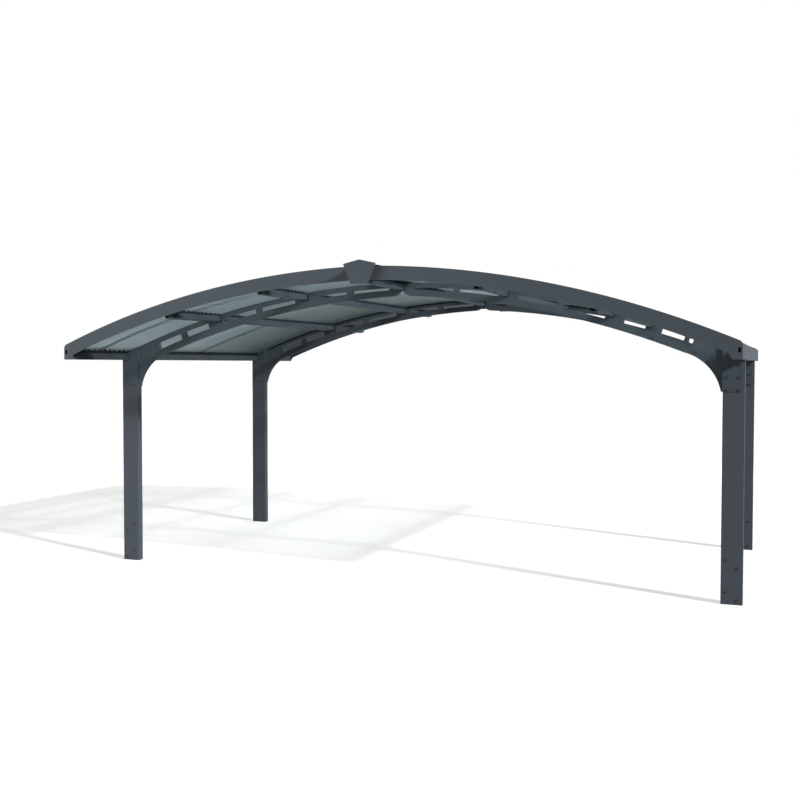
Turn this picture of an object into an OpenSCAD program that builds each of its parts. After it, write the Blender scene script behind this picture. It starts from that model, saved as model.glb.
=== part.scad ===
// Double carport: two arched frames on four posts, joined by purlins and
// eave gutters, under corrugated translucent sheets.
// Millimetres. X runs across the width, Y from front to rear, Z up from the
// ground. The roof's two halves are mirror images about X = 0, and front and
// rear are mirror images about Y = 0.

/* [Roof] */
// Width over the two gutters
roof_w = 5790; // [5400:10:6200]
// Distance between the front faces of the two fascias
roof_l = 4482; // [4200:10:4900]
// Height of the fascia's top edge at the ridge
ridge_h = 2700; // [2600:10:2900]
// Radius of the fascia's top edge
arc_r = 7590; // [7300:10:7900]
// How far each half's arc centre lies past the ridge
arc_shift = 121; // [90:1:150]

/* [Posts] */
// Distance between the centres of the front and the rear posts
post_span_l = 2668; // [2400:10:3000]
// Gap from the gutter's outer face to the post's outer face
post_inset = 11; // [6:1:30]
// Width of a post across the carport
post_w = 170; // [150:1:190]
// Depth of a post from front to rear
post_d = 71; // [66:1:90]
// Wall of a post
post_wall = 2.5; // [2:0.5:4]
// Radius of a post's corners
post_r = 4; // [2:0.5:5]

/* [Foot anchors] */
// Height of the anchor inside a post
anchor_h = 400; // [380:5:480]
// Thickness of the anchor's plates
anchor_t = 4; // [3:0.5:6]
// Diameter of a ground bolt's hole
anchor_hole_d = 14; // [10:0.5:18]
// Distance between the two ground bolts
anchor_hole_pitch = 90; // [70:1:100]

/* [Arched beams] */
// Thickness of a beam from front to rear
beam_t = 36; // [30:1:54]
// Wall of the folded beam
beam_wall = 3; // [2:0.5:4]
// Depth of a beam at the ridge
beam_h = 116; // [105:1:140]
// Radius of a beam's lower edge
beam_r = 7250; // [7100:10:7400]
// How far the lower edge's centre lies past the ridge
beam_shift = 259; // [200:1:300]
// Radius that rounds a beam's lower corner at the ridge
beam_corner_r = 90; // [60:5:110]
// Radius of the haunch that curves down to the post
haunch_r = 400; // [330:5:440]
// Height of the haunch's lower end below the gutter
haunch_drop = 254; // [200:2:300]
// Height of the haunch's lower end over its arc's centre
haunch_low = 72; // [40:2:100]
// Width of the haunch's lower end
haunch_foot = 11; // [6:1:20]

/* [Slots] */
// Distance from a beam's upper edge to its slots
slot_top = 43; // [34:1:48]
// Distance from the slots to a beam's lower edge
slot_base = 60; // [44:1:64]
// Distance from the slot beside the ridge to a beam's lower edge
slot_first_base = 54; // [44:1:58]
// Radius of a slot's corners
slot_r = 9; // [5:0.5:9.5]
// Wall of the sleeve that lines a slot
slot_rim = 2; // [1.5:0.5:3]
// Length of a slot in the two upper bays
slot_l = 358; // [280:2:370]
// Length of a slot in the bay beside the post
slot_low_l = 262; // [200:2:266]
// Gap between the two slots of a bay
slot_gap = 52; // [40:1:80]
// Distance along the beam from the ridge to the first slot
slot_start = 114; // [95:1:120]
// Distance along the beam from one pair of slots to the next
slot_pitch = 927; // [920:1:932]

/* [Purlins] */
// Spacing of the purlins along the arc
purlin_pitch = 920; // [880:5:930]
// Distance from the ridge to the middle of the first purlin
purlin_start = 945; // [930:1:960]
// Width of a purlin
purlin_w = 46; // [36:1:60]
// Height of a purlin
purlin_h = 50; // [40:1:70]
// Wall of a purlin
purlin_wall = 2; // [1.5:0.5:3]
// Height of the seal from a purlin to the valleys of the sheets
seal_h = 16; // [10:1:24]

/* [Knee brackets] */
// Thickness of a bracket's plates
knee_t = 4; // [3:0.5:6]
// Width of a bracket's side plates
knee_w = 148; // [110:2:150]

/* [Fascia] */
// Height of the fascia band
fascia_h = 114; // [100:1:130]
// Thickness of the fascia
fascia_t = 3; // [2:0.5:5]
// Depth of the fascia's top lip
fascia_lip = 45; // [30:1:60]
// Distance from the ridge to the joint in each half of the fascia
fascia_joint = 1846; // [1500:10:2200]
// Radius that rounds the fascia's outer corner
fascia_r = 40; // [20:2:60]
// Width of the foot that closes the gutter's end, at the ground side
foot_w = 72; // [60:1:90]
// Width of the foot where it leaves the fascia band
foot_top_w = 101; // [90:1:120]
// Height at which the foot leaves the fascia band
foot_h = 50; // [40:1:60]

/* [Gutters] */
// Width of a gutter
gutter_w = 75; // [60:1:90]
// Height of a gutter's outer wall
gutter_h = 116; // [100:1:130]
// Height of a gutter's inner wall
gutter_in_h = 80; // [60:1:88]
// Wall of a gutter
gutter_t = 2.5; // [2:0.5:4]
// How far the upper part of the inner wall is set back
gutter_step = 3; // [1:0.5:5]
// Height of that step over the gutter's floor
gutter_step_h = 40; // [30:1:50]
// Gap from the fascia's top edge down to the gutter's outer wall
gutter_drop = 10; // [6:1:14]
// Width of the drain window in the gutter's end
drain_w = 22; // [14:1:30]
// Height of the drain window in the gutter's end
drain_h = 36; // [24:1:44]
// Distance from the gutter's outer face to the drain window
drain_in = 11; // [8:1:16]
// Height of the drain window over the gutter's floor
drain_z = 50; // [40:1:56]

/* [Ridge] */
// Height of the ridge cap's apex over the fascia
cap_rise = 20; // [16:1:30]
// Half the width of the ridge cap
cap_half_w = 132; // [120:1:150]
// Slope drop from the apex to the cap's edges
cap_slope = 18; // [10:1:20]
// Thickness of the cap
cap_t = 3; // [2:0.5:4]
// How far the cap's nose stands out past the fascia
cap_reach = 102; // [40:2:130]
// Half the width of the nose behind the end plate
nose_half_w = 90; // [70:1:96]
// Height of the end plate's apex over the fascia
end_plate_rise = 41; // [34:1:50]
// Half the width of the end plate's upper edge
end_plate_top_w = 140; // [120:1:170]
// Slope drop from the end plate's apex to its sides
end_plate_slope = 32; // [20:1:34]
// Height of the end plate's sides
end_plate_side_h = 19; // [12:1:24]
// How far the end plate's sides lean in
end_plate_lean = 8; // [4:1:14]
// Height of the end plate from its apex to its lower edge
end_plate_h = 193; // [150:1:220]
// Half the width of the end plate's lower edge
end_plate_half_w = 75; // [50:1:100]

/* [Sheets] */
// Distance from the fascia's top edge to the middle of the sheets
sheet_drop = 60; // [54:1:70]
// Thickness of a sheet
sheet_t = 1.2; // [0.8:0.1:2]
// Height of the waves from valley to crest
wave_h = 18; // [12:1:24]
// Length of one wave
wave_l = 76; // [60:1:100]
// Distance from the middle of the roof to the outer seams
seam_l = 1800; // [1600:10:1950]
// Distance from the ridge to the sheets' upper edges
sheet_gap = 4; // [2:1:10]
// How far the sheets reach out over the gutter
sheet_reach = 22; // [10:1:30]

/* [Hidden] */
// Gap left between pieces that touch
fit = 0.3;
big = 20000;

hw = roof_w / 2;
hl = roof_l / 2;
post_y = post_span_l / 2;

// Arc centres, and the height of an arc of radius r over a place x
arc_z = ridge_h - sqrt(pow(arc_r, 2) - pow(arc_shift, 2));
function arc_h(r, x) = arc_z + sqrt(r * r - pow(x + arc_shift, 2));

// Sheets lie on the frame: valleys touch the tops of beams and purlins
sheet_r = arc_r - sheet_drop;
frame_r = sheet_r - wave_h / 2 - sheet_t / 2 - fit;
sheet_lift = sheet_t + fit;

// Gutter
gutter_top = arc_h(arc_r, hw) - gutter_drop;
gutter_z = gutter_top - gutter_h;
gutter_in = hw - gutter_w;

// Posts
post_out = hw - post_inset;
post_in = post_out - post_w;
post_x = post_out - post_w / 2;

// Knee brackets wrap the post's inner corner
knee_in = post_in - fit - knee_t;
knee_z = gutter_z - haunch_drop;

// Arched beams run from the ridge to the knee brackets
beam_end = knee_in - fit;
beam_low_z = arc_h(frame_r, 0) - beam_h - sqrt(pow(beam_r, 2) - pow(beam_shift, 2));
haunch_z = knee_z - haunch_low;
haunch_x = beam_end - haunch_foot - sqrt(pow(haunch_r, 2) - pow(haunch_low, 2));
// Where the haunch leaves the lower edge
haunch_top_x = haunch_x + haunch_r * sin(22.5);
haunch_fill = haunch_r * cos(25.8);

// Angle about the roof's arc centre at a distance s from the ridge
function arc_a(r, s) = asin(arc_shift / r) + s / r * 180 / PI;

// Distance from the roof's arc centre, at the angle a, to a circle of radius q
// about the centre of the beam's lower edge
low_dx = arc_shift - beam_shift;
low_dz = beam_low_z - arc_z;
function low_along(a) = low_dx * sin(a) + low_dz * cos(a);
function low_rho(a, q) =
    low_along(a) + sqrt(pow(low_along(a), 2) - pow(low_dx, 2) - pow(low_dz, 2) + pow(q, 2));

// Purlins, by their distance from the ridge along the arc
purlin_s = [purlin_start, purlin_start + purlin_pitch];

// Ridge cap
cap_z = ridge_h + cap_rise;
end_plate_z = ridge_h + end_plate_rise;
cap_l = hl + cap_reach;
// The cap's edges rest on the fascias and its skirts on the sheets
cap_low_z = arc_h(arc_r, cap_half_w) + fit;
skirt_z = arc_h(sheet_r + wave_h / 2 + sheet_t / 2 + sheet_lift, cap_half_w - cap_t) + fit;

purlin_bays = [[-hl + fascia_t + fit, -post_y - beam_t / 2 - fit],
               [-post_y + beam_t / 2 + fit, post_y - beam_t / 2 - fit],
               [post_y + beam_t / 2 + fit, hl - fascia_t - fit]];

// A plate drawn in X and Z, standing from y to y + t
module plate(y, t) {
    translate([0, y + t, 0]) rotate([90, 0, 0]) linear_extrude(t) children();
}

// The left half (side = -1) mirrors the right half (side = 1)
module half(side) {
    if (side < 0) mirror([1, 0, 0]) children();
    else children();
}

// The rear (end = 1) mirrors the front (end = -1)
module front_rear(end) {
    if (end > 0) mirror([0, 1, 0]) children();
    else children();
}

// Disc about the roof's arc centre, turned so that a facet ends over x
module arc_disc(r, x = 0) {
    translate([-arc_shift, arc_z]) rotate(-asin((x + arc_shift) / r)) circle(r, $fn = 720);
}

// ---- posts ----
module post_outline() {
    translate([post_r, 0]) square([post_w - 2 * post_r, post_d]);
    translate([0, post_r]) square([post_w, post_d - 2 * post_r]);
    for (x = [post_r, post_w - post_r], y = [post_r, post_d - post_r])
        translate([x, y]) circle(post_r, $fn = 32);
}

module post(side, end) {
    color("dimgray") half(side) front_rear(end)
        translate([0, -post_y, 0]) difference() {
            intersection() {
                translate([post_in, -post_d / 2, 0]) linear_extrude(ridge_h) post_outline();
                plate(-post_d, 2 * post_d) arc_disc(frame_r - fit);
            }
            translate([post_in + post_wall, -post_d / 2 + post_wall, -1])
                cube([post_w - 2 * post_wall, post_d - 2 * post_wall, ridge_h]);
            // notch that the gutter lies in
            translate([gutter_in - fit, -post_d, gutter_z - fit])
                cube([gutter_w, 2 * post_d, gutter_h]);
        }
}

// ---- foot anchors: a channel inside the post with a plate on the ground ----
module anchor(side, end) {
    w = post_w - 2 * post_wall - 2 * fit;
    d = post_d - 2 * post_wall - 2 * fit;
    color("silver") half(side) front_rear(end)
        translate([post_x, -post_y, 0]) difference() {
            translate([-w / 2, -d / 2, 0]) cube([w, d, anchor_h]);
            translate([-w / 2 - 1, -d / 2 + anchor_t, anchor_t])
                cube([w + 2, d - 2 * anchor_t, anchor_h]);
            for (i = [-1, 1]) translate([i * anchor_hole_pitch / 2, 0, -1])
                cylinder(d = anchor_hole_d, h = anchor_t + 2, $fn = 48);
        }
}

// ---- knee brackets: a channel clasping the post's inner face ----
module knee_outline() {
    intersection() {
        difference() {
            translate([knee_in, knee_z]) square([knee_w, ridge_h]);
            translate([gutter_in - fit, gutter_z - fit]) square([gutter_w, gutter_h]);
        }
        arc_disc(frame_r - fit);
    }
}

module knee(side, end) {
    color("slategray") half(side) front_rear(end) translate([0, -post_y, 0])
        difference() {
            plate(-post_d / 2 - fit - knee_t, post_d + 2 * (fit + knee_t)) knee_outline();
            translate([knee_in + knee_t, -post_d / 2 - fit, 0])
                cube([post_w, post_d + 2 * fit, big]);
        }
}

// ---- arched beams with haunches ----
// Outline of a half beam, drawn in by w on every side but its outer end
module beam_outline(w) {
    difference() {
        intersection() {
            arc_disc(frame_r - w);
            translate([fit + w, knee_z + w]) square([beam_end - fit, ridge_h]);
            translate([0, 0]) square([w > 0 ? big : beam_end, big]);
        }
        // lower edge
        intersection() {
            translate([-beam_shift, beam_low_z]) circle(beam_r + w, $fn = 720);
            translate([-1, 0]) square([haunch_top_x + 1, big]);
        }
        // haunch
        translate([haunch_x, haunch_z]) circle(haunch_r + w, $fn = 200);
        translate([haunch_x, 0]) square([haunch_top_x - haunch_x, haunch_z + haunch_fill]);
        // rounded corner at the ridge
        ridge_corner(w);
    }
}

// What the rounded corner takes away beside the ridge
module ridge_corner(w) {
    z = beam_low_z + sqrt(pow(beam_r, 2) - pow(beam_shift + beam_corner_r, 2)) + beam_corner_r;
    difference() {
        translate([-1, z - 2 * beam_corner_r]) square([beam_corner_r + 1 + fit, 2 * beam_corner_r]);
        translate([beam_corner_r + fit, z]) circle(beam_corner_r - w, $fn = 120);
    }
}

// Ring between the slots' two edges, drawn in by w; base is its lower margin
module slot_ring(base, w) {
    difference() {
        translate([-arc_shift, arc_z]) circle(frame_r - slot_top - w, $fn = 720);
        translate([-beam_shift, beam_low_z]) circle(beam_r + base + w, $fn = 720);
    }
}

// Wedge about the roof's arc centre
module wedge(a0, a1) {
    translate([-arc_shift, arc_z])
        polygon([[0, 0], 2 * arc_r * [sin(a0), cos(a0)], 2 * arc_r * [sin(a1), cos(a1)]]);
}

// Slot with rounded corners between distances s0 and s1, drawn out by w
module slot(s0, s1, base, w) {
    r = slot_r + w;
    top_r = frame_r - slot_top - slot_r;
    turn = asin(r / top_r);
    a0 = arc_a(top_r, s0 - w);
    a1 = arc_a(top_r, s1 + w);
    intersection() { slot_ring(base, -w); wedge(a0 + turn, a1 - turn); }
    intersection() { slot_ring(base, slot_r); wedge(a0, a1); }
    for (a = [a0 + turn, a1 - turn], rho = [top_r, low_rho(a, beam_r + base + slot_r)])
        translate([-arc_shift + rho * sin(a), arc_z + rho * cos(a)]) circle(r, $fn = 48);
}

module slots(w) {
    for (bay = [0 : 2]) {
        l = bay < 2 ? slot_l : slot_low_l;
        s = slot_start + bay * slot_pitch;
        slot(s, s + l, bay == 0 ? slot_first_base : slot_base, w);
        slot(s + l + slot_gap, s + 2 * l + slot_gap, slot_base, w);
    }
}

// A hollow beam whose slots are lined by sleeves
module arch(side, end) {
    color("slategray") half(side) front_rear(end) translate([0, -post_y, 0])
        difference() {
            plate(-beam_t / 2, beam_t) difference() { beam_outline(0); slots(0); }
            plate(-beam_t / 2 + beam_wall, beam_t - 2 * beam_wall)
                difference() { beam_outline(beam_wall); slots(slot_rim); }
        }
}

// ---- fascia ----
// Band of the fascia between x0 and x1: a face with a lip over the sheets
module fascia_band(x0, x1) {
    difference() {
        plate(-hl, fascia_lip) fascia_outline(x0, x1, 0, fascia_h);
        plate(-hl + fascia_t, fascia_lip) fascia_outline(x0 - 1, x1 + 1, fascia_t, fascia_h + 9);
    }
}

// Ring between depths d0 and d1 under the roof's edge
module fascia_outline(x0, x1, d0, d1) {
    intersection() {
        difference() { arc_disc(arc_r - d0, x0); arc_disc(arc_r - d1, x0); }
        translate([x0, 0]) square([x1 - x0, 2 * ridge_h]);
    }
}

module fascia(side, end) {
    color("slategray") half(side) front_rear(end) fascia_band(fit / 2, fascia_joint - fit / 2);
}

// Outer length of fascia, with the foot that closes the gutter's end
module fascia_end(side, end) {
    color("slategray") half(side) front_rear(end) difference() {
        union() {
            fascia_band(fascia_joint + fit / 2, hw);
            plate(-hl, fascia_t) intersection() {
                polygon([[hw, gutter_z], [hw - foot_w, gutter_z], [hw - foot_top_w, gutter_z + foot_h],
                         [hw - foot_top_w, gutter_top], [hw, gutter_top]]);
                arc_disc(arc_r);
            }
        }
        translate([hw - drain_in - drain_w, -hl - 1, gutter_z + drain_z])
            cube([drain_w, fascia_t + 2, drain_h]);
        plate(-hl - 1, fascia_lip + 2) fascia_corner();
    }
}

// What the rounded corner takes away at the fascia's outer end
module fascia_corner() {
    z = arc_z + sqrt(pow(arc_r - fascia_r, 2) - pow(hw - fascia_r + arc_shift, 2));
    difference() {
        translate([hw - fascia_r, z]) square([fascia_r + 1, 2 * fascia_r]);
        translate([hw - fascia_r, z]) circle(fascia_r, $fn = 96);
        wedge(0, asin((hw - fascia_r + arc_shift) / (arc_r - fascia_r)));
    }
}

// ---- gutters ----
module gutter(side) {
    l = roof_l - 2 * (fascia_t + fit);
    color("slategray") half(side) plate(-l / 2, l) translate([gutter_in, gutter_z]) {
        difference() {
            square([gutter_w, gutter_h]);
            translate([gutter_t, gutter_t]) square([gutter_w - 2 * gutter_t, gutter_step_h - gutter_t]);
            translate([gutter_t + gutter_step, gutter_t])
                square([gutter_w - 2 * gutter_t - gutter_step, gutter_h]);
            translate([-1, gutter_step_h + gutter_t]) square([gutter_step + 1, gutter_h]);
            translate([-1, gutter_in_h]) square([gutter_w / 2 + 1, gutter_h]);
        }
    }
}

// ---- purlins ----
module purlin_tube(y0, y1, top) {
    translate([-purlin_w / 2, y0, top - purlin_h]) difference() {
        cube([purlin_w, y1 - y0, purlin_h]);
        translate([purlin_wall, -1, purlin_wall])
            cube([purlin_w - 2 * purlin_wall, y1 - y0 + 2, purlin_h - 2 * purlin_wall]);
    }
}

module purlin(side, row) {
    color("slategray") half(side) translate([-arc_shift, 0, arc_z])
        rotate([0, arc_a(frame_r, purlin_s[row]), 0])
            for (b = purlin_bays) purlin_tube(b[0], b[1], purlin_top(frame_r - seal_h));
}

// Height of a purlin's upper side under an arc of radius r
function purlin_top(r) = sqrt(pow(r, 2) - pow(purlin_w / 2, 2));

module ridge_purlin() {
    color("slategray") for (b = purlin_bays)
        purlin_tube(b[0], b[1], arc_h(frame_r - seal_h, purlin_w / 2));
}

// ---- seals: strips that fill the waves between the purlins and the sheets ----
module seal_strip(y0, y1, low, top) {
    translate([-purlin_w / 2, 0, 0]) rotate([90, 0, 90]) linear_extrude(purlin_w)
        polygon(concat([[y1, low], [y0, low]], [for (y = wave_places(y0, y1))
            [y, top - wave_h / 2 + wave_h / 2 * wave_at(y)]]));
}

module seal(side) {
    color("black") half(side) for (s = purlin_s) translate([-arc_shift, 0, arc_z])
        rotate([0, arc_a(frame_r, s), 0]) for (b = purlin_bays)
            seal_strip(b[0], b[1], purlin_top(frame_r - seal_h) + fit, purlin_top(frame_r) + wave_h);
}

module seal_ridge() {
    color("black") for (b = purlin_bays)
        seal_strip(b[0], b[1], arc_h(frame_r - seal_h, purlin_w / 2) + fit,
                   arc_h(frame_r, purlin_w / 2) + wave_h);
}

// ---- ridge ----
// Roof slopes of half width w, with sides that reach down to z
module cap_outline(w, z) {
    in_w = w - cap_t;
    edge_z = cap_z - cap_slope * w / cap_half_w;
    in_z = cap_z - cap_slope * in_w / cap_half_w - cap_t;
    polygon([[0, cap_z], [w, edge_z], [w, z], [in_w, z], [in_w, in_z], [0, cap_z - cap_t],
             [-in_w, in_z], [-in_w, z], [-w, z], [-w, edge_z]]);
}

// Cap over the ridge: a nose at each end, edges over the fascias, skirts between
module ridge_cap() {
    nose_l = cap_l - cap_t - fit;
    skirt_l = hl - fascia_lip - fit;
    color("slategray") {
        for (end = [-1, 1]) front_rear(end)
            plate(-nose_l, nose_l - skirt_l) cap_outline(nose_half_w, cap_low_z + cap_t);
        plate(-hl, 2 * hl) cap_outline(cap_half_w, cap_low_z);
        plate(-skirt_l, 2 * skirt_l) cap_outline(cap_half_w, skirt_z);
    }
}

module ridge_end(end) {
    edge_z = end_plate_z - end_plate_slope;
    side_w = end_plate_top_w - end_plate_lean;
    side_z = edge_z - end_plate_side_h;
    low_z = end_plate_z - end_plate_h;
    color("slategray") front_rear(end) plate(-cap_l, cap_t)
        polygon([[0, end_plate_z], [end_plate_top_w, edge_z], [side_w, side_z],
                 [end_plate_half_w, low_z], [-end_plate_half_w, low_z],
                 [-side_w, side_z], [-end_plate_top_w, edge_z]]);
}

// ---- corrugated sheets ----
// The wave runs in eight straight steps; its height, from -1 to 1, at a place y
wave_step = wave_l / 8;
function wave_at(y) = let (k = floor(y / wave_step), t = y / wave_step - k)
    (1 - t) * cos(45 * k) + t * cos(45 * (k + 1));
function wave_places(y0, y1) = concat([y0],
    [for (k = [ceil(y0 / wave_step + 0.02) : floor(y1 / wave_step - 0.02)]) k * wave_step], [y1]);
// One face of the wave between y0 and y1, at a mean radius r
function wave(y0, y1, r) = [for (y = wave_places(y0, y1)) [r + wave_h / 2 * wave_at(y), y]];
function reversed(p) = [for (i = [len(p) - 1 : -1 : 0]) p[i]];

module sheet(side, n) {
    ends = hl - fascia_t - fit;
    y0 = [-ends, -seam_l, 0, seam_l][n - 1] - (n > 1 ? wave_l / 2 : 0);
    y1 = [-seam_l, 0, seam_l, ends][n - 1] + (n < 4 ? wave_l / 2 : 0);
    r = sheet_r + (n % 2 == 0 ? sheet_lift : 0);
    a0 = asin((arc_shift + sheet_gap) / r);
    a1 = asin((arc_shift + gutter_in + sheet_reach) / r);
    color("lightsteelblue", 0.6) half(side) translate([-arc_shift, 0, arc_z])
        rotate([90, 0, 0]) rotate([0, 0, 90 - a1])
            rotate_extrude(angle = a1 - a0, $fn = 720)
                polygon(concat(wave(y0, y1, r - sheet_t / 2), reversed(wave(y0, y1, r + sheet_t / 2))));
}

post(-1, -1);  // post_front_left
post(1, -1);  // post_front_right
post(-1, 1);  // post_rear_left
post(1, 1);  // post_rear_right
anchor(-1, -1);  // anchor_front_left
anchor(1, -1);  // anchor_front_right
anchor(-1, 1);  // anchor_rear_left
anchor(1, 1);  // anchor_rear_right
knee(-1, -1);  // knee_front_left
knee(1, -1);  // knee_front_right
knee(-1, 1);  // knee_rear_left
knee(1, 1);  // knee_rear_right
arch(-1, -1);  // arch_front_left
arch(1, -1);  // arch_front_right
arch(-1, 1);  // arch_rear_left
arch(1, 1);  // arch_rear_right
fascia(-1, -1);  // fascia_front_left
fascia(1, -1);  // fascia_front_right
fascia(-1, 1);  // fascia_rear_left
fascia(1, 1);  // fascia_rear_right
fascia_end(-1, -1);  // fascia_end_front_left
fascia_end(1, -1);  // fascia_end_front_right
fascia_end(-1, 1);  // fascia_end_rear_left
fascia_end(1, 1);  // fascia_end_rear_right
gutter(-1);  // gutter_left
gutter(1);  // gutter_right
purlin(-1, 0);  // purlin_upper_left
purlin(1, 0);  // purlin_upper_right
purlin(-1, 1);  // purlin_lower_left
purlin(1, 1);  // purlin_lower_right
ridge_purlin();
seal(-1);  // seal_left
seal(1);  // seal_right
seal_ridge();
ridge_cap();
ridge_end(-1);  // ridge_end_front
ridge_end(1);  // ridge_end_rear
sheet(-1, 1);  // sheet_left_1
sheet(-1, 2);  // sheet_left_2
sheet(-1, 3);  // sheet_left_3
sheet(-1, 4);  // sheet_left_4
sheet(1, 1);  // sheet_right_1
sheet(1, 2);  // sheet_right_2
sheet(1, 3);  // sheet_right_3
sheet(1, 4);  // sheet_right_4
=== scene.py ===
# %% [markdown]
# # A double carport, dressed in Blender
#
# The carport stands on four posts. Two slotted arches carry purlins, two
# gutters and a roof of corrugated, translucent sheets. The metal forms come
# from the CAD frame at their real size, in metres: X across the width, Y from
# front to rear and Z up. This file gives them their finishes, adds the small
# hardware, and sets the floor, the light and the camera.

from math import asin, cos, pi, radians, sin, sqrt

import bmesh
import bpy
from mathutils import Matrix, Vector


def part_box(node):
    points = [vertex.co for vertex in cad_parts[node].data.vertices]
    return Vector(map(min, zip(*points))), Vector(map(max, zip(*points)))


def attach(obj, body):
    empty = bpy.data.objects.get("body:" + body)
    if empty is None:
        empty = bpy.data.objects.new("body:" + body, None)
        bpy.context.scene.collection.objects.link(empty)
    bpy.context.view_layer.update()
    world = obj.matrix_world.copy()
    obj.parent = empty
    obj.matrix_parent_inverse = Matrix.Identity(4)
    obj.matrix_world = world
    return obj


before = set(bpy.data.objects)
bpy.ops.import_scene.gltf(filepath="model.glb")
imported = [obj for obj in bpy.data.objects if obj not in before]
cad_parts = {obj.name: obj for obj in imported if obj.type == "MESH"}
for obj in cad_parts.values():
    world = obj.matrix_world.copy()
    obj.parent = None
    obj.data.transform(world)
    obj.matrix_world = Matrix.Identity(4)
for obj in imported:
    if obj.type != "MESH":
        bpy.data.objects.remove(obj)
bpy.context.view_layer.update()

# %% [markdown]
# ## Camera
#
# The carport is seen from a little right of its middle, from a person's eye
# height. A constraint could aim the camera at a target, but plain turns leave
# nothing that moves later: one about Z and a very small tilt down are enough.
# A lens of about 48 mm keeps the perspective calm.

# %% Camera
cam_data = bpy.data.cameras.new("camera")
cam_data.sensor_width = 36.0
cam_data.lens = 47.591
camera = bpy.data.objects.new("camera", cam_data)
camera.location = (3.1786, -10.1246, 1.9142)
turn = Matrix.Rotation(radians(20.007), 4, "Z")
tilt_down = Matrix.Rotation(radians(90 - 1.954), 4, "X")
roll = Matrix.Rotation(radians(0.058), 4, "Z")
camera.rotation_euler = (turn @ tilt_down @ roll).to_euler()
bpy.context.scene.collection.objects.link(camera)
bpy.context.scene.camera = camera
print("lens:", round(cam_data.lens, 1), "mm")

# %% [markdown]
# ## Shader groups
#
# A node group is a small shader effect with named inputs and outputs. Several
# finishes share one group and set their own values, so that a change to the
# group reaches them all. These groups give only colours, masks and heights;
# the shaders stay in the materials. A few helpers keep the node code short.

# %% Helpers for node trees
def new_group(name, inputs, outputs):
    """A shader node group with named float or colour sockets."""
    group = bpy.data.node_groups.new(name, "ShaderNodeTree")
    kinds = {"value": "NodeSocketFloat", "colour": "NodeSocketColor"}
    for label, kind, start in inputs:
        socket = group.interface.new_socket(label, in_out="INPUT", socket_type=kinds[kind])
        socket.default_value = start
    for label, kind in outputs:
        group.interface.new_socket(label, in_out="OUTPUT", socket_type=kinds[kind])
    return group, group.nodes.new("NodeGroupInput"), group.nodes.new("NodeGroupOutput")


def finish_group(group, sink, outputs):
    """Link a group's results to its named outputs."""
    for label, source in outputs:
        group.links.new(source, sink.inputs[label])
    print("group:", group.name)


def add(tree, kind, links=(), **settings):
    """A node with its settings; links pairs an input's name or number with a socket or value."""
    node = tree.nodes.new(kind)
    for key, value in settings.items():
        setattr(node, key, value)
    for key, source in links:
        if isinstance(source, bpy.types.NodeSocket):
            tree.links.new(source, node.inputs[key])
        else:
            node.inputs[key].default_value = source
    return node


# %% Helpers for numbers and colours
def maths(tree, operation, a, b=0.0, clamp=False):
    """One sum of two numbers or sockets."""
    node = add(tree, "ShaderNodeMath", [(0, a), (1, b)], operation=operation, use_clamp=clamp)
    return node.outputs[0]


def spread(tree, value, low, high, to_low=0.0, to_high=1.0):
    """Stretch a value's range from low and high to two new ends."""
    node = add(tree, "ShaderNodeMapRange",
               [("Value", value), ("From Min", low), ("From Max", high),
                ("To Min", to_low), ("To Max", to_high)])
    return node.outputs["Result"]


def blend_colours(tree, factor, a, b, mode="MIX"):
    """Colour a at factor 0, colour b at factor 1."""
    # The Mix node keeps its colour sockets behind those for numbers and vectors
    node = add(tree, "ShaderNodeMix", data_type="RGBA", blend_type=mode)
    for socket, source in ((node.inputs[0], factor), (node.inputs[6], a), (node.inputs[7], b)):
        if isinstance(source, bpy.types.NodeSocket):
            tree.links.new(source, socket)
        else:
            socket.default_value = source
    return node.outputs[2]


def grey(tree, value):
    """A grey colour from one number."""
    return add(tree, "ShaderNodeCombineColor", [(0, value), (1, value), (2, value)]).outputs[0]


def own_noise(tree, scale, detail):
    """Noise in a piece's own metres, so that it has one size on every form."""
    place = add(tree, "ShaderNodeTexCoord")
    noise = add(tree, "ShaderNodeTexNoise",
                [("Vector", place.outputs["Object"]), ("Scale", scale), ("Detail", detail)])
    return noise.outputs[0]


# %% [markdown]
# Powder coat is never quite even. Its tone drifts slowly over a long piece, it
# has a very fine grain, and its surface is a little wavy, like orange peel. An
# image could show this, but every mesh would have to be unwrapped for it.
# Three noises in the piece's own metres fit every form as it is.

# %% Coat tone: slow drift and fine grain of powder coat
coat_tone, src, out = new_group(
    "coat tone",
    [("Colour", "colour", (0.1, 0.12, 0.14, 1)), ("Drift", "value", 0.06),
     ("Grain", "value", 0.05), ("Roughness", "value", 0.45)],
    [("Colour", "colour"), ("Roughness", "value"), ("Height", "value")])


def swing(noise, amount):
    """Noise turned into a swing about zero."""
    return maths(coat_tone, "MULTIPLY", maths(coat_tone, "SUBTRACT", noise, 0.5), amount)


drift = swing(own_noise(coat_tone, scale=2.2, detail=3.0), src.outputs["Drift"])
speck = swing(own_noise(coat_tone, scale=900.0, detail=2.0), src.outputs["Grain"])
peel = own_noise(coat_tone, scale=260.0, detail=1.0)
gain = maths(coat_tone, "ADD", maths(coat_tone, "ADD", drift, speck), 1.0)
toned = blend_colours(coat_tone, 1.0, src.outputs["Colour"], grey(coat_tone, gain), "MULTIPLY")
rough = maths(coat_tone, "ADD", src.outputs["Roughness"], maths(coat_tone, "MULTIPLY", speck, 1.5))
finish_group(coat_tone, out, [("Colour", toned), ("Roughness", rough), ("Height", peel)])

# %% [markdown]
# Handling rubs a coat thin along sharp edges. The edges could be painted one
# by one, but the Bevel node finds them all: it gives the normal that a rounded
# edge would have, and where that turns away from the true normal, the mask
# is 1. Noise breaks the mask up, so that no edge looks drawn with a ruler.

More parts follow.
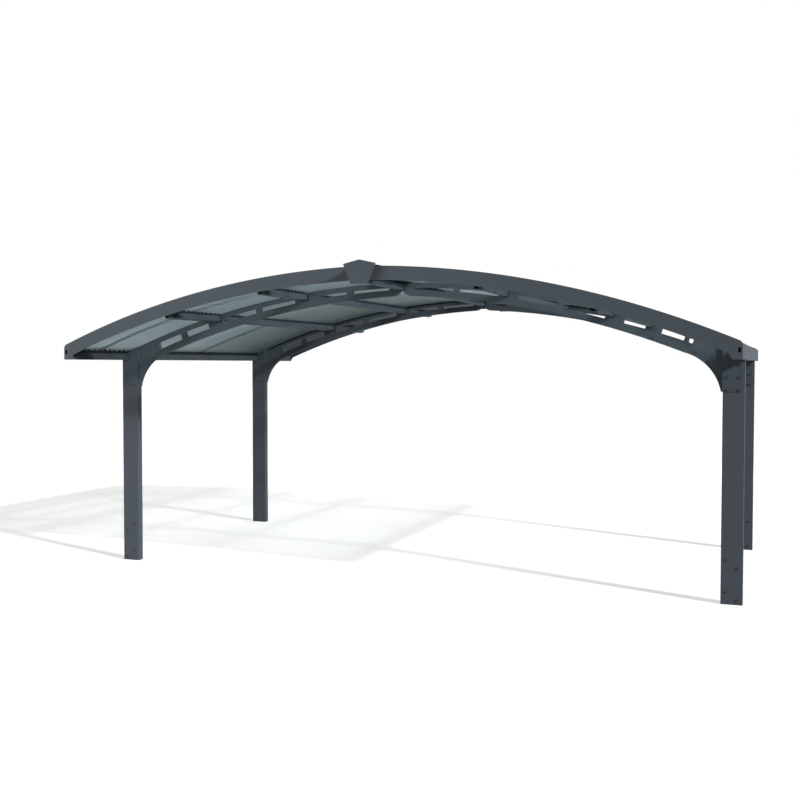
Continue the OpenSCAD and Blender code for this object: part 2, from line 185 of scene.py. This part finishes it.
# %% Bare edge: a mask that is 1 on sharp outer edges
bare_edge, src, out = new_group(
    "bare edge", [("Radius", "value", 0.003), ("Break up", "value", 0.5)], [("Mask", "value")])
rounded = add(bare_edge, "ShaderNodeBevel", [("Radius", src.outputs["Radius"])], samples=4)
true = add(bare_edge, "ShaderNodeNewGeometry")
alike = add(bare_edge, "ShaderNodeVectorMath",
            [(0, rounded.outputs[0]), (1, true.outputs["Normal"])], operation="DOT_PRODUCT")
edge = spread(bare_edge, alike.outputs["Value"], 0.995, 0.9)
kept = spread(bare_edge, own_noise(bare_edge, scale=14.0, detail=4.0), 0.35, 0.6)
kept = maths(bare_edge, "ADD", maths(bare_edge, "MULTIPLY", kept, src.outputs["Break up"]),
             maths(bare_edge, "SUBTRACT", 1.0, src.outputs["Break up"]))
finish_group(bare_edge, out, [("Mask", maths(bare_edge, "MULTIPLY", edge, kept, clamp=True))])

# %% [markdown]
# Dust settles on faces that look up. Real grains could be scattered as
# particles, but from a few metres away only their tone shows. So the Z of a
# face's normal says how level it is, and noise makes the film patchy.

# %% Settled dust: a mask for upward faces, broken by noise
settled_dust, src, out = new_group(
    "settled dust", [("Amount", "value", 0.3), ("Scale", "value", 6.0)], [("Mask", "value")])
true = add(settled_dust, "ShaderNodeNewGeometry")
up = add(settled_dust, "ShaderNodeSeparateXYZ", [(0, true.outputs["Normal"])])
level = spread(settled_dust, up.outputs["Z"], 0.35, 0.95)
patchy = spread(settled_dust, own_noise(settled_dust, src.outputs["Scale"], 6.0), 0.35, 0.75)
dusty = maths(settled_dust, "MULTIPLY", level, patchy)
dusty = maths(settled_dust, "MULTIPLY", dusty, src.outputs["Amount"], clamp=True)
finish_group(settled_dust, out, [("Mask", dusty)])

# %% [markdown]
# ## Finishes
#
# The frame is powder coated in a blue grey. The posts, gutters and purlins
# are extrusions with a smooth coat. The arches and brackets are folded steel
# with a slightly deeper tone. The gutters and purlins get a darker coat than
# the posts, which is painted shade for the shade they lie in under the roof.
# One function makes a finish and each kind has its own colour.

# %% Helpers for materials
def new_material(name):
    """A material with its node tree and its Principled BSDF."""
    material = bpy.data.materials.new(name)
    material.use_nodes = True
    tree = material.node_tree
    return material, tree, tree.nodes["Principled BSDF"]


def place_group(tree, group, **values):
    """A group's node with its own values."""
    node = add(tree, "ShaderNodeGroup", node_tree=group)
    for key, value in values.items():
        node.inputs[key.replace("_", " ")].default_value = value
    return node


def srgb(r, g, b):
    """Colour written as it is read on screen, turned into Blender's linear values."""
    line = [(v / 255 / 12.92) if v <= 10 else ((v / 255 + 0.055) / 1.055) ** 2.4 for v in (r, g, b)]
    return (*line, 1.0)


print("a mid grey in linear values:", round(srgb(128, 128, 128)[0], 3))

# %% Powder coat on metal
def coated_metal(name, colour, dust):
    """Powder coat on metal: tone, orange peel, paler edges and a little dust."""
    material, tree, shader = new_material(name)
    tone = place_group(tree, coat_tone, Colour=colour, Drift=0.10, Grain=0.06, Roughness=0.62)
    edges = place_group(tree, bare_edge, Radius=0.003, Break_up=0.5)
    dusty = place_group(tree, settled_dust, Amount=dust, Scale=5.0)

    paler = tuple(min(1.0, v * 1.5 + 0.01) for v in colour[:3]) + (1.0,)
    worn = maths(tree, "MULTIPLY", edges.outputs["Mask"], 0.15)
    edged = blend_colours(tree, worn, tone.outputs["Colour"], paler)
    coloured = blend_colours(tree, dusty.outputs["Mask"], edged, srgb(150, 152, 150))
    tree.links.new(coloured, shader.inputs["Base Color"])

    duller = maths(tree, "MULTIPLY", dusty.outputs["Mask"], 0.2)
    rough = maths(tree, "ADD", tone.outputs["Roughness"], duller, clamp=True)
    tree.links.new(rough, shader.inputs["Roughness"])
    bump = add(tree, "ShaderNodeBump",
               [("Height", tone.outputs["Height"]), ("Strength", 0.08), ("Distance", 0.0004)])
    tree.links.new(bump.outputs[0], shader.inputs["Normal"])
    shader.inputs["IOR"].default_value = 1.5
    shader.inputs["Specular IOR Level"].default_value = 0.08
    print("finish:", name)
    return material


post_coat = coated_metal("post coat", srgb(80, 87, 94), dust=0.10)
trim_coat = coated_metal("trim coat", srgb(80, 88, 94), dust=0.12)
beam_coat = coated_metal("beam coat", srgb(77, 86, 92), dust=0.08)
# Painted shade: the gutter and purlin coats are darker for the shade under the roof
gutter_coat_painted_shade = coated_metal("gutter coat painted shade", srgb(72, 80, 86), dust=0.12)
purlin_coat_painted_shade = coated_metal("purlin coat", srgb(68, 77, 84), dust=0.06)
bracket_coat = coated_metal("bracket coat", srgb(74, 83, 90), dust=0.06)

# %% [markdown]
# The feet stand on hot-dip galvanized channels. Zinc sets in flat crystals
# with straight borders. Noise would give soft clouds, so a Voronoi pattern is
# used, and each of its cells has its own shade and shine.

# %% Galvanized steel
galvanized, tree, shader = new_material("galvanized steel")
place = add(tree, "ShaderNodeTexCoord")
crystal = add(tree, "ShaderNodeTexVoronoi", [("Vector", place.outputs["Object"]), ("Scale", 90.0)])
shade = add(tree, "ShaderNodeSeparateColor", [(0, crystal.outputs["Color"])]).outputs[0]
zinc = blend_colours(tree, shade, srgb(150, 155, 158), srgb(182, 186, 188))
tree.links.new(zinc, shader.inputs["Base Color"])
tree.links.new(spread(tree, shade, 0.0, 1.0, 0.35, 0.55), shader.inputs["Roughness"])
shader.inputs["Metallic"].default_value = 0.85
print("finish:", galvanized.name)

# %% [markdown]
# Seals, gaskets and plugs are black rubber: nearly matt, with a fine grain and
# a little pale bloom. Pure black would look like a hole, so the colour stays
# a little above it. The coat's groups serve here too, with stronger values.

# %% Rubber
rubber, tree, shader = new_material("seal rubber")
tone = place_group(tree, coat_tone, Colour=srgb(20, 25, 29), Drift=0.20, Grain=0.30, Roughness=0.8)
bloom = place_group(tree, settled_dust, Amount=0.15, Scale=9.0)
bloomed = blend_colours(tree, bloom.outputs["Mask"], tone.outputs["Colour"], srgb(56, 59, 62))
tree.links.new(bloomed, shader.inputs["Base Color"])
tree.links.new(tone.outputs["Roughness"], shader.inputs["Roughness"])
shader.inputs["Specular IOR Level"].default_value = 0.15
print("finish:", rubber.name)

# %% [markdown]
# The bolts are blackened steel, which is dark and half dull. It could be a
# plain metal, but a spanner rubs the corners of a head, so they are paler.

# %% Blackened steel
blackened, tree, shader = new_material("blackened steel")
tone = place_group(tree, coat_tone, Colour=srgb(52, 57, 63), Drift=0.15, Grain=0.25, Roughness=0.5)
edges = place_group(tree, bare_edge, Radius=0.0008, Break_up=0.6)
worn = maths(tree, "MULTIPLY", edges.outputs["Mask"], 0.35)
rubbed = blend_colours(tree, worn, tone.outputs["Colour"], srgb(96, 100, 104))
tree.links.new(rubbed, shader.inputs["Base Color"])
tree.links.new(tone.outputs["Roughness"], shader.inputs["Roughness"])
shader.inputs["Metallic"].default_value = 0.3
shader.inputs["Specular IOR Level"].default_value = 0.3
print("finish:", blackened.name)

# %% [markdown]
# The roof sheets are smoked, translucent plastic. Mixing in a Transparent BSDF
# would be quicker, but such a sheet has no body. Here part of the light goes
# through and is blurred, and the rest scatters inside the plastic, so each
# wave shows a light and a dark flank. Towards the rear the undersides get a
# darker, greenish tone, which is painted shade. It is mixed in by place and
# by the way a face points.

# %% Tint of the sheets
sheet_plastic, tree, shader = new_material("smoked sheet")
haze = own_noise(tree, scale=1.4, detail=5.0)
dusty = place_group(tree, settled_dust, Amount=0.12, Scale=3.0)
tint = blend_colours(tree, haze, srgb(172, 191, 196), srgb(182, 199, 203))
tint = blend_colours(tree, dusty.outputs["Mask"], tint, srgb(190, 198, 198))

place = add(tree, "ShaderNodeTexCoord")
along = add(tree, "ShaderNodeSeparateXYZ", [(0, place.outputs["Object"])])
rearward = maths(tree, "ADD", along.outputs["Y"], maths(tree, "MULTIPLY", haze, 0.5))
up = add(tree, "ShaderNodeSeparateXYZ", [(0, place.outputs["Normal"])])
underside = spread(tree, up.outputs["Z"], -0.5, 0.5, 1.0, 0.2)
# Painted shade: the undersides darken to a greenish teal towards the rear
painted_rear_shade = maths(tree, "MULTIPLY", spread(tree, rearward, -0.15, 1.6), underside)
tint = blend_colours(tree, painted_rear_shade, tint, srgb(76, 98, 97))
tree.links.new(tint, shader.inputs["Base Color"])
print("finish:", sheet_plastic.name)

# %% Body of the sheets
tree.links.new(spread(tree, haze, 0.3, 0.7, 0.30, 0.42), shader.inputs["Roughness"])
for label, value in (("IOR", 1.2), ("Transmission Weight", 0.75), ("Subsurface Weight", 1.0),
                     ("Subsurface Radius", (1.0, 1.0, 1.0)), ("Subsurface Scale", 0.01)):
    shader.inputs[label].default_value = value
print("sheets let through:", shader.inputs["Transmission Weight"].default_value)

# %% [markdown]
# A path tracer stops a lamp's light at anything that isn't transparent, so the
# roof would throw a solid shadow. Caustics could carry the light through, but
# they are slow and noisy. A Light Path switch is the usual way: shadow rays
# meet a Transparent BSDF, which lets a little less through at a slant.

# %% Light through the sheets
path = add(tree, "ShaderNodeLightPath")
slant = add(tree, "ShaderNodeLayerWeight", [("Blend", 0.5)])
passed = spread(tree, slant.outputs["Facing"], 0.3, 1.0, 0.76, 0.68)
let_through = add(tree, "ShaderNodeBsdfTransparent", [("Color", grey(tree, passed))])
switch = add(tree, "ShaderNodeMixShader", [(0, path.outputs["Is Shadow Ray"]),
                                           (1, shader.outputs[0]), (2, let_through.outputs[0])])
tree.links.new(switch.outputs[0], tree.nodes["Material Output"].inputs["Surface"])
print("shadow rays: pass", sheet_plastic.name)

# %% [markdown]
# Every CAD node keeps its shape and gets a finish. They could be listed one by
# one, but the first word of a node's name says what it is. Only the purlin
# under the ridge starts with another word.

# %% Give every CAD node its finish
finish_of = {"post": post_coat, "anchor": galvanized, "knee": bracket_coat, "arch": beam_coat,
             "fascia": trim_coat, "gutter": gutter_coat_painted_shade, "purlin": purlin_coat_painted_shade,
             "ridge": trim_coat, "seal": rubber, "sheet": sheet_plastic}
for name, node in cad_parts.items():
    finish = purlin_coat_painted_shade if name == "ridge_purlin" else finish_of[name.split("_")[0]]
    node.data.materials.clear()
    node.data.materials.append(finish)
print("dressed:", len(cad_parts), "nodes")

# %% [markdown]
# ## Hardware
#
# The small parts are built in mesh code. They could be modelled by hand and
# copied about, but nearly all of them can be made in one way: a row of closed
# loops of points, joined by faces and capped at both ends. A turned part is a
# row of rings about an axis, with 24 sides for a washer and 6 for a bolt's
# head. A strip is one section carried along a path.

# %% Helpers for meshes
def loft(mesh, loops):
    """Join a row of closed loops, each with as many points, and cap both ends."""
    rows = [[mesh.verts.new(point) for point in loop] for loop in loops]
    for one, two in zip(rows, rows[1:]):
        for i in range(len(one)):
            j = (i + 1) % len(one)
            mesh.faces.new((one[i], one[j], two[j], two[i]))
    mesh.faces.new(rows[0])
    mesh.faces.new(rows[-1])


def spin(mesh, at, axis, profile, sides, start=0.0):
    """A turned part: each step of the profile is a radius and a height along the axis."""
    across = axis.orthogonal().normalized()
    along = axis.cross(across)
    turns = [start + 2 * pi * i / sides for i in range(sides)]
    spokes = [across * cos(t) + along * sin(t) for t in turns]
    loft(mesh, [[at + axis * height + spoke * radius for spoke in spokes]
                for radius, height in profile])


def piece(name, mesh, finish):
    """Turn a mesh into a piece of the carport that rides on its body."""
    bmesh.ops.recalc_face_normals(mesh, faces=mesh.faces)
    data = bpy.data.meshes.new(name)
    mesh.to_mesh(data)
    mesh.free()
    data.shade_smooth()
    data.set_sharp_from_angle(angle=radians(32))
    data.materials.append(finish)
    thing = bpy.data.objects.new(name, data)
    bpy.context.scene.collection.objects.link(thing)
    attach(thing, "root")
    print(name + ":", len(data.polygons), "faces")


# %% [markdown]
# A bolt is a washer and a six-sided head with a chamfered crown. On its far
# side stands a nut with the end of the thread. A single cylinder would do from
# far away, but the flats and the chamfer catch the light, so both are made.

# %% Bolt head and nut
def bolt_head(mesh, at, axis, size):
    """Washer and hexagon head, standing on the plate at a point; size is the bolt's width."""
    washer = [(1.15 * size, 0), (1.2 * size, 0.0004), (1.2 * size, 0.0016), (1.12 * size, 0.002)]
    spin(mesh, at, axis, washer, 24)
    corner, top = 0.94 * size, 0.002 + 0.65 * size
    head = [(corner, 0.0018), (corner, top - 0.0012), (0.86 * corner, top),
            (0.5 * corner, top - 0.0004)]
    spin(mesh, at, axis, head, 6, start=0.26)


def bolt_nut(mesh, at, axis, size):
    """Washer, nut and the rounded end of the thread."""
    bolt_head(mesh, at, axis, size)
    tip = 0.0014 + 0.65 * size
    thread = [(0.5 * size, tip), (0.5 * size, tip + 0.003), (0.38 * size, tip + 0.0042)]
    spin(mesh, at, axis, thread, 16)


def bolt_group(name, facing, low, high, places, size):
    """A piece of bolts along Y at places (x, z), through the box from low to high."""
    bolts = bmesh.new()
    for x, z in places:
        for y, way in ((low.y, -1), (high.y, 1)):
            make = bolt_head if way == facing else bolt_nut
            make(bolts, Vector((x, y, z)), Vector((0, way, 0)), size)
    piece(name, bolts, blackened)


# %% [markdown]
# The knees carry six bolts each, the arches five near each haunch, and the
# feet four to hold the anchors. The heads are on the gable's side and the nuts
# inside. Each corner's bolts are one mesh, because they stay together, and the
# corners differ only in which way they face.

# %% The four corners
sides = {"left": -1, "right": 1}
ends = {"front": -1, "rear": 1}
corners = [(f"{end}_{side}", facing, hand)
           for end, facing in ends.items() for side, hand in sides.items()]
print("corners:", [corner for corner, facing, hand in corners])

# %% Knee bolts
for corner, facing, hand in corners:
    low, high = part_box(f"knee_{corner}")
    inner = low.x if hand > 0 else high.x
    places = [(inner + hand * step_x, low.z + step_z)
              for step_x in (0.040, 0.132) for step_z in (0.017, 0.115, 0.215)]
    bolt_group(f"knee_bolts_{corner}", facing, low, high, places, size=0.010)

# %% Haunch bolts
haunch_places = ((2.692, 1.786), (2.637, 1.967), (2.591, 1.940), (2.498, 2.012), (2.167, 2.130))
for corner, facing, hand in corners:
    low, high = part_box(f"arch_{corner}")
    places = [(hand * x, z) for x, z in haunch_places]
    bolt_group(f"haunch_bolts_{corner}", facing, low, high, places, size=0.009)

# %% Foot bolts
foot_places = ((0.041, 0.360), (0.041, 0.100), (0.129, 0.295), (0.129, 0.040))
for corner, facing, hand in corners:
    low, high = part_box(f"post_{corner}")
    inner = low.x if hand > 0 else high.x
    places = [(inner + hand * step_x, z) for step_x, z in foot_places]
    bolt_group(f"foot_bolts_{corner}", facing, low, high, places, size=0.009)

# %% [markdown]
# The roof is an arc whose centre lies past the ridge, so each half is a little
# less than half of a bow. The hardware under the sheets follows that arc. It
# could be bent with a curve modifier, but the arc's own sums put each point
# exactly on it.

# %% The roof's arc
fascia_r, sheet_r, frame_r = 7.590, 7.530, 7.5201
arc_shift = 0.121
arc_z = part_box("fascia_front_left")[1].z - sqrt(fascia_r ** 2 - arc_shift ** 2)
shift_tilt = asin(arc_shift / frame_r)
print("arc centre:", round(arc_z, 3), "m, ridge tilt:", round(shift_tilt, 4))

# %% [markdown]
# Each purlin ends in a dark shoe where it meets an arch. Its near-black
# rubber also paints the shade in the gap at the purlin's end. The shoe is a
# short trough around the purlin's sides and underside, with a flange against
# the arch. Boxes would cut into the purlin, so its section is a U, carried
# along Y and tilted as the purlin is.

# %% A trough around a purlin
half_w, half_h, chamfer = 0.0235, 0.0255, 0.003


def trough(mesh, centre, tilt, y0, y1, wall):
    """A U around a purlin's section, from y0 to y1, turned by a tilt about Y."""
    side, base, lip = half_w + wall, -half_h - wall, half_h - chamfer
    section = [(half_w, lip), (side, lip), (side, base + chamfer), (side - chamfer, base),
               (chamfer - side, base), (-side, base + chamfer), (-side, lip), (-half_w, lip),
               (-half_w, -half_h), (half_w, -half_h)]
    turned = [(centre[0] + a * cos(tilt) + b * sin(tilt), centre[1] - a * sin(tilt) + b * cos(tilt))
              for a, b in section]
    loft(mesh, [[(x, y, z) for x, z in turned] for y in (y0, y1)])


# %% Purlin shoes
arch_faces = []
for end in ends:
    low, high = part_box(f"arch_{end}_left")
    arch_faces += [(low.y, -1), (high.y, 1)]
purlin_tilts = {"ridge_purlin": 0.0}
for side, hand in sides.items():
    for row, distance in (("upper", 0.945), ("lower", 1.865)):
        purlin_tilts[f"purlin_{row}_{side}"] = hand * (shift_tilt + distance / frame_r)
for name, tilt in purlin_tilts.items():
    low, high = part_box(name)
    centre = ((low.x + high.x) / 2, (low.z + high.z) / 2)
    shoes = bmesh.new()
    for y, way in arch_faces:
        for reach, wall in ((0.012, 0.002), (0.003, 0.005)):
            trough(shoes, centre, tilt, y + way * 0.0004, y + way * reach, wall)
    # Painted shade in part: the shoes' black rubber darkens the gap at each purlin's end
    piece(name.replace("purlin", "shoes"), shoes, rubber)

# %% [markdown]
# A dark gasket runs along the top of each arch on the side that faces the
# middle bay. It keeps the sheets off the steel, and its black rubber also
# paints the band of shade along the arch's top on that side. A bevelled curve
# could draw it, but its section is a flat lip with one rounded edge, so that
# section is carried along the roof's arc in short steps.

# %% Arch gaskets
gasket_section = [(-0.013, 0.0), (-0.014, 0.0022), (-0.004, 0.003),
                  (0.0035, 0.003), (0.0048, 0.0018), (0.0048, 0.0)]
gasket_start, gasket_l, gasket_steps = 0.03, 2.72, 70
gasket_y = 1.3157
for corner, facing, hand in corners:
    loops = []
    for k in range(gasket_steps + 1):
        tilt = shift_tilt + (gasket_start + gasket_l * k / gasket_steps) / frame_r
        loops.append([(hand * ((frame_r + rise) * sin(tilt) - arc_shift),
                       facing * (gasket_y - inward),
                       (frame_r + rise) * cos(tilt) + arc_z) for rise, inward in gasket_section])
    gasket = bmesh.new()
    loft(gasket, loops)
    # Painted shade in part: the black gasket darkens the arch's top on the middle bay's side
    piece(f"arch_gasket_{corner}", gasket, rubber)

# %% [markdown]
# A foam strip closes the waves over each gutter's inner wall, so that birds
# and leaves stay out. Its black rubber also paints the shade in the gap
# between the sheets and the gutter's wall. It could be a straight bar that the
# sheets cut through, but then the two would overlap. So its lower edge is
# straight and its upper edge follows the waves, just under the sheets.

# %% Gutter foam
wave_h, wave_l = 0.018, 0.076
foam_steps, end_gap, sheet_gap = 462, 0.006, 0.0016
near, far = -0.0003, -0.0040
for side, hand in sides.items():
    low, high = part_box(f"gutter_{side}")
    inner = abs(low.x if hand > 0 else high.x)
    foot = low.z + 0.064
    loops = []
    for k in range(foam_steps + 1):
        y = low.y + end_gap + (high.y - low.y - 2 * end_gap) * k / foam_steps
        under = sheet_r + wave_h / 2 * cos(2 * pi * y / wave_l) - sheet_gap
        waved = [(x, arc_z + sqrt(under ** 2 - (inner + x + arc_shift) ** 2)) for x in (near, far)]
        outline = [(near, foot), *waved, (far, foot + 0.002), (far + 0.001, foot)]
        loops.append([(hand * (inner + x), y, z) for x, z in outline])
    foam = bmesh.new()
    loft(foam, loops)
    # Painted shade in part: the foam's black rubber darkens the gap over the gutter's wall
    piece(f"gutter_foam_{side}", foam, rubber)

# %% [markdown]
# Each gutter's end has a drain window in the fascia's foot. A black plug fills
# it. A plain block would look flat, so the plug has a rim and a sunken face,
# made as five rectangles in a row, each with its half width and its place
# along Y.

# %% Drain plugs
plug_x, plug_y, plug_z = 2.873, 2.2378, 2.018
plug_steps = ((0.0100, -0.0130), (0.0108, 0.0003), (0.0108, 0.0016), (0.0100, 0.0020),
              (0.0094, -0.0100))
taller = 0.007
for corner, facing, hand in corners:
    loops = [[(hand * (plug_x + a * half), facing * (plug_y + outward),
               plug_z + b * (half + taller)) for a, b in ((-1, -1), (1, -1), (1, 1), (-1, 1))]
             for half, outward in plug_steps]
    plug = bmesh.new()
    loft(plug, loops)
    piece(f"drain_plug_{corner}", plug, rubber)

# %% [markdown]
# ## Floor and light
#
# A wide pale floor takes the shadow. It could be a curved backdrop, but from
# the side or from below that would show. Seen by the camera, part of the
# floor's brightness is its own, so it runs into the white background without
# a horizon, and the shadow stays light. To other rays the floor is darker, so
# it throws little light up under the roof.

# %% Rays that show the background
def seen_straight(tree):
    """1 for rays that show the background: from the camera, a mirror or a clear sheet."""
    path = add(tree, "ShaderNodeLightPath")
    shown = maths(tree, "MAXIMUM", path.outputs["Is Camera Ray"],
                  maths(tree, "MAXIMUM", path.outputs["Is Glossy Ray"],
                        path.outputs["Is Transmission Ray"]))
    # A dull surface before it makes the ray count as light, not as a view
    sharp = maths(tree, "LESS_THAN", path.outputs["Diffuse Depth"], 0.5)
    return maths(tree, "MULTIPLY", shown, sharp)


# %% Floor
half_floor = 60.0
floor_mesh = bpy.data.meshes.new("floor")
floor_mesh.from_pydata([(a * half_floor, b * half_floor, 0)
                        for a, b in ((-1, -1), (1, -1), (1, 1), (-1, 1))], [], [(0, 1, 2, 3)])
floor = bpy.data.objects.new("floor", floor_mesh)
bpy.context.scene.collection.objects.link(floor)
print("floor:", 2 * half_floor, "m wide")

# %% Floor paint
floor_paint, tree, shader = new_material("floor paint")
seen = seen_straight(tree)
paint = blend_colours(tree, seen, (0.14, 0.14, 0.14, 1), (0.80, 0.80, 0.80, 1))
tree.links.new(paint, shader.inputs["Base Color"])
shader.inputs["Roughness"].default_value = 0.9
shader.inputs["Specular IOR Level"].default_value = 0.0
glow = add(tree, "ShaderNodeEmission", [("Strength", maths(tree, "MULTIPLY", seen, 0.54))])
lit = add(tree, "ShaderNodeAddShader", [(0, shader.outputs[0]), (1, glow.outputs[0])])
below = add(tree, "ShaderNodeNewGeometry")
clear = add(tree, "ShaderNodeBsdfTransparent")
one_sided = add(tree, "ShaderNodeMixShader", [(0, below.outputs["Backfacing"]),
                                              (1, lit.outputs[0]), (2, clear.outputs[0])])
tree.links.new(one_sided.outputs[0], tree.nodes["Material Output"].inputs["Surface"])
floor.data.materials.append(floor_paint)
print("finish:", floor_paint.name)

# %% [markdown]
# The world is white where it is seen, and gives only a little even light. With
# a strength of 1 for all rays it would wash the carport out.

# %% World
world = bpy.data.worlds.new("studio")
bpy.context.scene.world = world
world.use_nodes = True
tree = world.node_tree
back = tree.nodes["Background"]
back.inputs["Color"].default_value = (1, 1, 1, 1)
world_light, world_seen = 0.15, 1.0
strength = spread(tree, seen_straight(tree), 0.0, 1.0, world_light, world_seen)
tree.links.new(strength, back.inputs["Strength"])
print("world light:", world_light)

# %% [markdown]
# A low sun stands front right. One sun would give either a hard or a soft
# shadow, so there are two in the same place: a small disc for crisp shadows
# and a wider haze around it. A soft lamp stands front left, and another
# behind, so that the back isn't black. The one behind would glare along the
# sheets, so it is hidden from glossy and clear rays.

# %% Sun
for name, energy, angle in (("sun disc", 1.4, 0.8), ("sun haze", 2.3, 6.0)):
    sun_data = bpy.data.lights.new(name, "SUN")
    sun_data.energy = energy
    sun_data.angle = radians(angle)
    sun = bpy.data.objects.new(name, sun_data)
    sun.rotation_euler = Vector((-1.85, 0.75, -1.0)).to_track_quat("-Z", "Y").to_euler()
    bpy.context.scene.collection.objects.link(sun)
    print("lamp:", name, energy)

# %% Soft lamps
for name, energy, stand, aim in (("soft front", 220, (-3.2, -7.8, 1.1), (-1.2, 0, 1.8)),
                                 ("soft rear", 480, (-1.5, 11.0, 1.3), (0, 0.5, 1.6))):
    soft_data = bpy.data.lights.new(name, "AREA")
    soft_data.energy = energy
    soft_data.size = 4.0
    soft = bpy.data.objects.new(name, soft_data)
    soft.location = stand
    soft.rotation_euler = (Vector(aim) - soft.location).to_track_quat("-Z", "Y").to_euler()
    soft.visible_glossy = soft.visible_transmission = name == "soft front"
    bpy.context.scene.collection.objects.link(soft)
    print("lamp:", name, energy)

# %% [markdown]
# ## Last step
#
# The Standard view shows colours as they are written. The pieces added here
# may not make the carport larger than its CAD model.

# %% Show colours as they are written
bpy.context.scene.view_settings.view_transform = "Standard"
